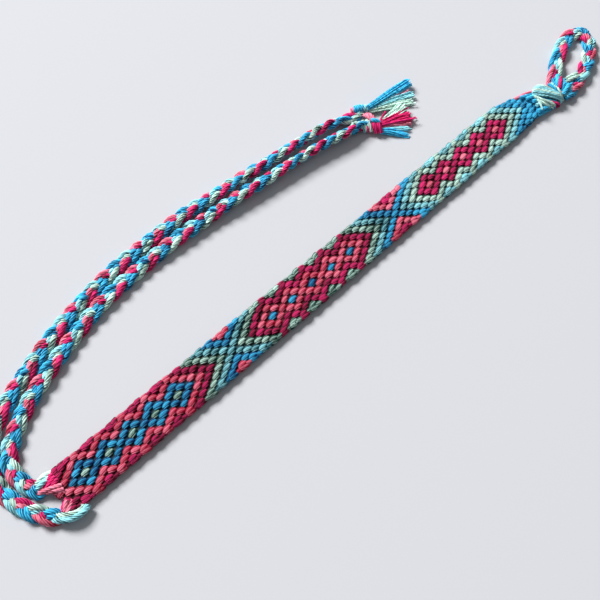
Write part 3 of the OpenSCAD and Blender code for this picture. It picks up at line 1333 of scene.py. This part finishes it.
@dataclass(frozen=True)
class BareString:
    """A short string that is neither woven nor braided, humped and swung between its ends."""

    start: Triple
    end: Triple
    floss: Floss
    hump: float = 0.0
    width: float = 0.95
    swing: float = 0.0
    flat: float = 0.9
    steps: int = 10

    def add_to(self, sheaf: Sheaf, rng: random.Random) -> None:
        """Adds the string to a sheaf.

        Args:
            sheaf: The sheaf that it becomes part of.
            rng: Source of its shade.
        """
        start = Vector(self.start)
        end = Vector(self.end)
        side = UPWARD.cross(end - start).normalized()
        line: Path = []
        for i in range(self.steps + 1):
            bow = math.sin(math.pi * i / self.steps)
            line.append(start.lerp(end, i / self.steps) + (UPWARD * self.hump + side * self.swing) * bow)
        sheaf.add_round(line, self.width, self.floss, rng.uniform(*STRING_SHADE), self.flat)


@dataclass(frozen=True)
class Wrap:
    """One string wound once round a knot, in millimetres from the knot's middle.

    It lies at a place along the knot's axis and beside it, reaches as far to both sides and
    as high as given, and leans along the axis.
    """

    along: float
    reach: float
    top: float
    floss: Floss
    lean_deg: float = 0.0
    width: float = 1.0
    beside: float = 0.0


@dataclass
class WrappedKnot:
    """A pulled-tight knot: strings that lie round it side by side, each begun from below."""

    name: str
    centre: Pair
    turn_deg: float
    wraps: tuple[Wrap, ...]
    lobes: tuple[BareString, ...] = ()
    flat: float = 0.8
    roundness: float = 0.85
    floor_gap: float = 0.08
    least_height: float = 0.1
    start_deg: float = -90.0
    step_deg: float = 12.0

    def outline(self, wrap: Wrap, angle: float) -> Vector:
        """Finds a point of a wrap's middle line.

        Args:
            wrap: The wrap.
            angle: How far round it the point lies, in radians.

        Returns:
            The point along, beside and above the knot's middle.
        """
        thick = wrap.width * self.flat
        low = self.floor_gap + thick / 2
        high = max(low + self.least_height, wrap.top - thick / 2)
        reach = wrap.reach - thick / 2
        c = math.cos(angle)
        s = math.sin(angle)
        side = math.copysign(abs(c) ** self.roundness, c) * reach
        rise = math.copysign(abs(s) ** self.roundness, s) * (high - low) / 2
        slope = math.tan(math.radians(wrap.lean_deg))
        return Vector((wrap.along + side * slope, wrap.beside + side, (low + high) / 2 + rise))

    def build(self, rng: random.Random) -> Sheaf:
        """Lays out the knot's wraps.

        Args:
            rng: Source of the small differences between strings.

        Returns:
            The sheaf of its strings.
        """
        sheaf = Sheaf(self.name)
        axis = Matrix.Rotation(math.radians(self.turn_deg), 4, "Z")
        middle = Vector((*self.centre, 0))
        for wrap in self.wraps:
            steps = round(360 / self.step_deg)
            angles = [math.radians(self.start_deg + 360 * i / steps) for i in range(steps + 1)]
            line = [self.outline(wrap, angle) for angle in angles]
            across: Path = []
            over: Path = []
            for i in range(len(line)):
                run = line[min(i + 1, steps)] - line[max(i - 1, 0)]
                out = Vector((0, run.z, -run.y)).normalized()
                side = run.normalized().cross(out).normalized()
                across.append(axis @ side * wrap.width / 2)
                over.append(axis @ side.cross(run.normalized()) * wrap.width / 2 * self.flat)
            line = [axis @ p + middle for p in line]
            sheaf.add(line, across, over, wrap.floss, rng.uniform(*STRING_SHADE))
        for lobe in self.lobes:
            lobe.add_to(sheaf, rng)
        return sheaf


@dataclass(frozen=True)
class Bundle:
    """Cut ends of one colour: where they leave the knot, where they end and how they spread."""

    root: Triple
    tip: Triple
    spread: float
    threads: int
    floss: Floss
    loose: float = 1.0


@dataclass
class Tassel:
    """A fan of cut ends, frayed to their plies.

    A stray is the spread of a random draw round nothing, a drift is its middle and spread, and
    a range is its two limits. Lengths are in millimetres.
    """

    name: str
    node: str
    knot: WrappedKnot
    bundles: tuple[Bundle, ...]
    slot: str
    ply_width: float = 0.34
    root_width: float = 0.9
    steps: int = 12
    fade: float = 0.5
    floor_gap: float = 0.02
    tip_stray: float = 0.12
    tip_drift: Pair = (-0.2, 0.4)
    tip_range: Pair = (-0.4, 0.5)
    root_range: Pair = (-0.4, 0.4)
    bend_stray: float = 0.3
    bend_range: Pair = (-0.2, 0.3)
    wave_stray: float = 0.14
    arch: float = 0.35
    shade_range: Pair = (0.6, 1.3)

    def thread(self, bundle: Bundle, share: float, rng: random.Random) -> Path:
        """Draws one cut thread.

        Args:
            bundle: The bundle that it belongs to.
            share: Its place across the bundle, from -0.5 to 0.5.
            rng: Source of its own bend, height and length.

        Returns:
            Its middle line.
        """
        root = Vector(bundle.root)
        tip = Vector(bundle.tip)
        run = (tip - root).normalized()
        side = UPWARD.cross(run).normalized()
        lowest = self.ply_width / 2 + self.floor_gap
        aim = tip + side * (bundle.spread * share + rng.gauss(0, self.tip_stray))
        aim += run * rng.gauss(*self.tip_drift)
        aim.z += rng.uniform(*self.tip_range)
        start = root + side * self.root_width * share + UPWARD * rng.uniform(*self.root_range)
        bend = side * rng.gauss(0, self.bend_stray) + UPWARD * rng.uniform(*self.bend_range)
        bend *= bundle.loose
        wave = side * rng.gauss(0, self.wave_stray) * bundle.loose
        line: Path = []
        for n in range(self.steps + 1):
            t = n / self.steps
            p = start.lerp(aim, t) + bend * math.sin(math.pi * t) + wave * math.sin(FULL_TURN * t)
            p.z += (start.z - aim.z) * self.arch * math.sin(math.pi * t)
            p.z = max(lowest, p.z)
            line.append(p)
        return line

    def build(self, trees: Trees, rng: random.Random) -> list[bpy.types.Object]:
        """Builds the knot and its cut ends.

        Args:
            trees: The trees.
            rng: Source of the differences between threads.

        Returns:
            The pieces.
        """
        knot = self.knot.build(rng).build(trees)
        ends = Sheaf(f"{self.name}_ends")
        for bundle in self.bundles:
            for i in range(bundle.threads):
                share = (i + 0.5) / bundle.threads - 0.5
                line = self.thread(bundle, share, rng)
                shade = rng.uniform(*self.shade_range)
                ends.add_round(line, self.ply_width, bundle.floss, shade, fade=self.fade)
        fringe = ends.build(trees, plies=2, lay=7.0, groove=0.05, relief=0.15)
        for piece in (knot, fringe):
            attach(piece, "root")
        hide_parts(self.node)
        return [knot, fringe]


@dataclass(frozen=True)
class Studio:
    """A pale floor, a soft light from the upper left and the camera."""

    eye: Triple = (-63.7, -60.5, 157.1)
    azimuth_deg: float = 43.5
    dip_deg: float = 62.3
    focal_px: float = 850.0
    image_px: float = 600.0
    sensor_mm: float = 36.0
    floor_half: float = 2.5
    key_azimuth_deg: float = -5.0
    key_height_deg: float = 42.0
    key_distance: float = 3.5
    key_size: float = 1.3
    key_watts: float = 222.0
    sky: float = 0.28
    sky_colour: tuple[float, float, float, float] = (0.93, 0.96, 1.0, 1.0)
    nearest: float = 0.01

    def build(self) -> None:
        """Builds the floor, the lights and the camera."""
        half = self.floor_half
        edges = [(-half, -half, 0), (half, -half, 0), (half, half, 0), (-half, half, 0)]
        sheet = bpy.data.meshes.new("floor")
        sheet.from_pydata(edges, [], [(0, 1, 2, 3)])
        sheet.materials.append(PaperFinish().material())
        floor = placed("floor", sheet)
        lens = bpy.data.cameras.new("camera")
        lens.sensor_width = self.sensor_mm
        lens.lens = self.focal_px / self.image_px * self.sensor_mm
        lens.clip_start = self.nearest
        camera = placed("camera", lens)
        camera.location = Vector(self.eye) * MM
        camera.rotation_mode = "QUATERNION"
        aim = pointing(self.azimuth_deg, -self.dip_deg)
        camera.rotation_quaternion = aim.to_track_quat("-Z", "Y")
        bpy.context.scene.camera = camera
        self.light()

    def light(self) -> None:
        """Adds the key light and an even sky."""
        lamp = bpy.data.lights.new("key", "AREA")
        lamp.energy = self.key_watts
        lamp.size = self.key_size
        key = placed("key", lamp)
        away = pointing(self.key_azimuth_deg, self.key_height_deg)
        key.location = away * self.key_distance
        key.rotation_mode = "QUATERNION"
        key.rotation_quaternion = (-away).to_track_quat("-Z", "Y")
        world = bpy.data.worlds.new("sky")
        world.use_nodes = True
        background = world.node_tree.nodes["Background"]
        background.inputs["Color"].default_value = self.sky_colour
        background.inputs["Strength"].default_value = self.sky
        scene = bpy.context.scene
        scene.world = world
        scene.view_settings.view_transform = "Standard"


@dataclass
class Bracelet:
    """The whole bracelet, from its driving sizes.

    A table's columns are the fields of the class that it names. The routes are those of the
    solids. The turns and drifts pair a length along a braid with the turns of its weave there.
    GATHERED runs from the band's end to the loop's knot, and TIE_END draws the band's other end
    to a point.
    """

    tie_route_start: float = -67.2
    loop_foot: float = 75.998
    tie_cycle: float = 9.6

    NEAR_ROUTE = [
        (-0.5, 2.8), (-2.3, 3.2), (-3.7, 5.0), (-4.3, 8.0), (-3.8, 11.2), (-2.0, 13.7),
        (0.8, 16.0), (4.8, 18.4), (9.7, 20.6), (19.3, 24.0), (29.1, 26.5), (38.9, 27.6),
        (48.2, 27.9), (57.4, 27.6), (66.9, 26.8), (75.6, 25.9), (85.8, 24.8), (94.1, 23.4),
        (98.4, 22.2), (101.5, 20.8),
    ]
    FAR_ROUTE = [
        (-0.5, -2.8), (-2.0, -3.4), (-3.5, -2.8), (-5.2, -0.5), (-6.7, 2.4), (-7.7, 6.2),
        (-7.8, 10.0), (-6.8, 13.7), (-4.2, 17.2), (-0.9, 19.8), (3.2, 22.1), (8.9, 24.4),
        (18.8, 27.7), (29.0, 30.1), (39.0, 31.3), (48.6, 31.6), (58.0, 31.3), (67.6, 30.4),
        (76.4, 29.4), (87.5, 28.3), (95.8, 27.1), (102.1, 25.7),
    ]
    LOOP_ROUTE = [
        (-0.2, -1.5), (2.2, 0.4), (6.2, 2.9), (10.7, 5.2), (15.1, 6.5), (18.1, 6.1),
        (19.0, 4.2), (17.4, 1.6), (14.3, -0.7), (10.7, -2.4), (7.2, -3.5), (4.1, -4.2),
        (0.6, -4.4),
    ]
    LOOP_TURNS = [(0.0, -0.14), (14.0, 0.68), (27.0, 1.9), (44.0, 3.42)]
    GATHERED = rows_of(BareString, (
        ((66.1, 2.7, 1.4), (71.2, 0.6, 1.9), CORAL, 0.5),
        ((66.4, 2.6, 1.2), (71.4, 0.2, 1.0), AZURE),
        ((66.8, 1.9, 2.0), (71.4, 0.0, 1.8), AZURE, 0.2),
        ((67.4, 1.1, 1.2), (71.4, -0.7, 1.0), AZURE),
        ((67.6, 0.6, 2.2), (71.4, -0.8, 1.9), AZURE, 0.2),
        ((68.0, -0.1, 1.4), (71.6, -1.5, 1.1), AZURE),
        ((68.2, -0.9, 2.1), (71.6, -2.0, 1.7), AZURE),
        ((68.2, -1.6, 1.3), (71.6, -2.6, 0.9), AZURE),
        ((68.0, -2.2, 2.0), (71.8, -3.2, 1.4), AQUA),
        ((67.8, -2.9, 1.3), (71.9, -3.9, 0.8), AZURE),
        ((67.0, -3.5, 1.9), (72.0, -4.5, 1.0), AZURE),
        ((66.6, -4.0, 1.0), (72.0, -4.9, 0.7), AZURE),
        ((66.8, 0.8, 0.65), (71.5, -1.2, 0.65), AZURE, 0, 1.25),
        ((66.8, -1.2, 0.65), (71.7, -2.4, 0.65), AZURE, 0, 1.25),
        ((66.6, -3.0, 0.65), (71.9, -4.2, 0.65), AZURE, 0, 1.25),
        ((69.3, -0.1, 2.4), (71.9, -4.9, 1.1), MINT, 0.5, 0.8, -0.4),
        ((69.2, -1.3, 2.2), (70.6, -4.6, 1.0), MINT, 0.5, 0.8, -0.3),
        ((68.6, -2.3, 2.7), (67.6, -4.1, 2.5), MINT, 0.2, 0.45),
    ))
    TIE_END = rows_of(BareString, (
        ((-66.3, 3.9, 1.7), (-69.3, 2.9, 1.3), MAGENTA, 0.3, 0.85),
        ((-66.2, 3.1, 1.9), (-68.9, 2.4, 1.5), MAGENTA, 0.3, 0.85),
        ((-66.1, 2.3, 1.9), (-68.2, 1.9, 1.6), MAGENTA, 0.3, 0.85),
        ((-66.2, 0.9, 2.0), (-69.6, 2.5, 1.5), CORAL, 0.3, 0.85),
        ((-66.4, 0.1, 1.8), (-69.3, 2.0, 1.2), CORAL, 0.3, 0.85),
        ((-66.0, -0.6, 1.3), (-68.3, 0.9, 1.0), CORAL, 0.3, 0.85),
        ((-67.2, -2.0, 1.8), (-68.8, -3.1, 1.2), CORAL, 0.2, 0.85),
    ))
    NEAR_DRIFT = (
        (0.0, 0.0), (8.0, 0.22), (26.0, 0.2), (50.0, 0.03), (75.0, 0.07), (92.0, 0.17),
        (109.0, 0.19), (121.0, 0.38),
    )
    FAR_DRIFT = (
        (0.0, 0.0), (14.0, 0.0), (35.0, -0.33), (80.0, -0.36), (100.0, -0.29), (136.0, -0.3),
    )
    NEAR_STARTS = ((-68.9, 3.0, 1.1), (-66.7, 4.1, 1.1), (-69.4, 3.0, 0.8))
    FAR_STARTS = ((-67.2, -2.3, 1.1), (-65.6, -5.1, 1.2), (-67.4, -4.3, 1.0))
    NEAR_ENDS = ((35.2, 22.1, 0.8), (34.8, 22.4, 1.2), (34.6, 21.9, 1.7))
    FAR_ENDS = ((35.9, 25.2, 0.8), (36.1, 24.7, 1.4), (35.8, 24.3, 0.8))

    def braids(self) -> list[Braid]:
        """Works out the two ties and the loop.

        Returns:
            The three braids.
        """
        near = Route(self.NEAR_ROUTE, self.tie_route_start)
        far = Route(self.FAR_ROUTE, self.tie_route_start)
        loop = Route(self.LOOP_ROUTE, self.loop_foot)

        def timed(first: float, drift: tuple[Pair, ...]) -> list[Pair]:
            """The weave's turns along a tie, pulled tighter in some places than in others."""
            return [(s, first + s / self.tie_cycle + gained) for s, gained in drift]

        return [
            Braid(
                "near_tie", near, timed(0.06, self.NEAR_DRIFT), swing_start=0.3, swing_end=0.5, roll_deg=60,
                starts=self.NEAR_STARTS, ends=self.NEAR_ENDS, lead_in=0.3, lead_out=0.8,
            ),
            Braid(
                "far_tie", far, timed(0.55, self.FAR_DRIFT), swing_start=0.6, swing_end=0.5, roll_deg=60,
                starts=self.FAR_STARTS, ends=self.FAR_ENDS, lead_in=0.4, lead_out=0.6,
            ),
            Braid(
                "loop", loop, self.LOOP_TURNS, swing_start=0.8, swing_end=0.8, lead_in=1.2, lead_out=1.2,
                held_heights=(1.4, 1.4),
            ),
        ]

    def tassels(self) -> list[Tassel]:
        """Works out the two end knots with their cut ends.

        Returns:
            The two tassels.
        """
        near = WrappedKnot(
            "near_end_knot", centre=(36.1, 20.7), turn_deg=-30,
            wraps=rows_of(Wrap, (
                (-1.5, 1.4, 1.9, AQUA, 8),
                (-0.8, 1.6, 2.2, MAGENTA, 10),
                (0.0, 1.6, 2.2, MAGENTA, 12),
                (0.8, 1.3, 1.9, MAGENTA, 14),
            )),
            lobes=rows_of(BareString, (
                ((36.8, 24.0, 1.5), (36.5, 21.0, 2.4), CORAL, 0.5, 1.05),
                ((37.6, 23.6, 1.4), (37.2, 20.8, 2.3), CORAL, 0.5, 1.05),
                ((36.2, 21.0, 2.7), (37.6, 19.6, 2.1), AZURE, 0.3, 1.1),
                ((35.1, 22.6, 1.9), (34.3, 20.4, 1.0), MINT, 0.5, 1.1),
                ((35.8, 22.0, 2.1), (35.0, 19.5, 1.0), MINT, 0.5, 1.1),
                ((34.6, 23.0, 1.5), (33.9, 21.4, 1.0), AQUA, 0.4, 1.0),
                ((36.3, 20.3, 2.3), (35.6, 18.4, 1.0), MAGENTA, 0.4, 1.1),
                ((37.1, 19.9, 2.2), (36.4, 17.7, 1.0), MAGENTA, 0.4, 1.1),
                ((37.0, 19.4, 1.8), (41.4, 21.1, 1.3), MAGENTA, 0.2, 0.6),
            )),
        )
        far = WrappedKnot(
            "far_end_knot", centre=(37.5, 25.7), turn_deg=-28,
            wraps=rows_of(Wrap, (
                (-1.7, 0.9, 2.0, CORAL, 8, 1.05, 0.3),
                (-1.05, 1.0, 2.4, AZURE, 14, 1.05, 0.3),
                (-0.3, 1.05, 2.5, AZURE, 18, 1.05, 0.25),
                (0.45, 1.0, 2.4, AZURE, 20, 1.05, 0.15),
                (1.15, 1.0, 2.2, AQUA, 22),
                (1.7, 0.95, 1.9, AQUA, 22),
            )),
        )
        return [
            Tassel(
                "near_tassel", "near_tassel", near,
                rows_of(Bundle, (
                    ((38.0, 19.5, 1.4), (45.7, 19.6, 1.5), 2.3, 24, MINT, 0.5),
                    ((37.4, 19.3, 1.5), (45.2, 16.9, 1.0), 3.6, 36, MAGENTA, 0.8),
                    ((37.2, 18.9, 1.1), (43.6, 15.2, 0.6), 1.2, 9, CORAL, 0.7),
                    ((37.0, 18.6, 0.9), (42.3, 14.4, 0.5), 0.9, 8, AQUA, 0.6),
                    ((36.7, 18.2, 0.8), (40.7, 13.4, 0.3), 0.9, 10, AZURE, 0.6),
                )),
                "pink_floss",
            ),
            Tassel(
                "far_tassel", "far_tassel", far,
                rows_of(Bundle, (
                    ((38.9, 24.7, 1.5), (51.9, 23.7, 1.4), 2.2, 44, AZURE, 0.4),
                    ((39.0, 24.5, 1.0), (50.6, 22.0, 0.7), 0.5, 6, CORAL, 0.5),
                    ((39.1, 24.4, 0.9), (50.2, 20.9, 0.6), 1.9, 16, AQUA, 0.6),
                    ((39.0, 24.2, 0.8), (49.0, 19.2, 0.5), 2.0, 16, MINT, 0.7),
                )),
                "blue_floss",
            ),
        ]

    def loop_knot(self) -> WrappedKnot:
        """Works out the knot below the loop, whose strings lie across the bracelet."""
        return WrappedKnot(
            "loop_knot_wraps", centre=(72.6, -1.8), turn_deg=25,
            wraps=rows_of(Wrap, (
                (2.0, 2.0, 2.0, AZURE, 12, 0.9),
                (1.4, 2.8, 2.8, MINT, 9, 0.8),
                (0.95, 3.3, 3.2, MINT, 7, 0.8),
                (0.5, 3.5, 3.4, AQUA, 4, 0.8),
                (0.05, 3.7, 3.5, AQUA, 1, 0.8),
                (-0.35, 3.8, 3.5, MINT, -3, 0.8),
                (-0.8, 3.9, 3.4, AQUA, -7, 0.8),
                (-1.2, 3.9, 3.0, AQUA, -10, 0.8),
                (-1.6, 3.2, 2.2, AZURE, -8, 0.8),
                (-1.75, 1.8, 2.1, MAGENTA, -6, 0.8, -1.9),
                (-2.15, 2.7, 2.3, MINT, -2, 0.8),
                (-2.55, 2.3, 1.8, MINT, 2, 0.8, -0.2),
                (-2.8, 1.8, 1.2, AZURE, 0, 0.8),
            )),
            lobes=rows_of(BareString, (
                ((75.7, -1.3, 1.8), (74.2, -5.3, 1.1), MINT, 0.9, 0.85),
                ((74.2, -0.4, 2.9), (74.1, -3.4, 2.6), AZURE, 0.5, 0.8),
                ((79.3, 0.3, 1.6), (76.0, -1.9, 1.8), AZURE, 0.4),
                ((78.9, -0.7, 1.9), (76.0, -2.7, 2.0), MAGENTA, 0.4),
                ((79.2, -1.6, 1.7), (76.0, -3.6, 1.6), AZURE, 0.3),
                ((80.6, -2.2, 1.4), (76.6, -3.2, 1.5), AZURE, 0.3, 1.1),
                ((83.0, -2.6, 1.7), (79.3, -1.9, 1.8), MINT, 0.3, 1.0),
                ((82.6, -3.3, 1.6), (78.6, -2.5, 1.8), MINT, 0.4, 1.0),
                ((81.0, -3.1, 1.3), (76.4, -4.4, 1.4), AZURE, 0.3),
                ((78.6, -3.5, 1.9), (75.2, -4.5, 1.9), AZURE, 0.5, 1.05),
                ((78.8, -4.5, 1.2), (75.2, -5.2, 1.1), AZURE, 0.3),
            )),
        )

    @staticmethod
    def bare(name: str, strings: tuple[BareString, ...], rng: random.Random) -> Sheaf:
        """Lays out strings that are neither woven nor braided.

        Args:
            name: Name of their sheaf.
            strings: The strings.
            rng: Source of the small differences between strings.

        Returns:
            The sheaf.
        """
        sheaf = Sheaf(name)
        for string in strings:
            string.add_to(sheaf, rng)
        return sheaf

    def build(self, trees: Trees) -> None:
        """Builds every sub-assembly and reports its pieces.

        Args:
            trees: The trees.
        """
        rng = random.Random(SEED)
        made: list[bpy.types.Object] = []
        made += KnottedBand().build(trees, rng)
        for braid in self.braids():
            made += braid.build(trees, rng)
        for tassel in self.tassels():
            made += tassel.build(trees, rng)
        knot = self.loop_knot().build(rng).build(trees)
        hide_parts("loop_knot")
        gathered = self.bare("gathered_strings", self.GATHERED, rng).build(trees)
        tie_end = self.bare("tie_end_strings", self.TIE_END, rng).build(trees)
        for piece in (knot, gathered, tie_end):
            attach(piece, "root")
            made.append(piece)
        for piece in made:
            faces = sum(len(face.vertices) - 2 for face in piece.data.polygons)
            LOG.info("%s: %d triangles", piece.name, faces)


def main() -> None:
    """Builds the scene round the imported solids."""
    logging.basicConfig(level=logging.INFO, format="%(name)s: %(message)s")
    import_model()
    Studio().build()
    trees = Trees({finish.floss: finish.material() for finish in FINISHES})
    Bracelet().build(trees)


if __name__ == "__main__":
    main()
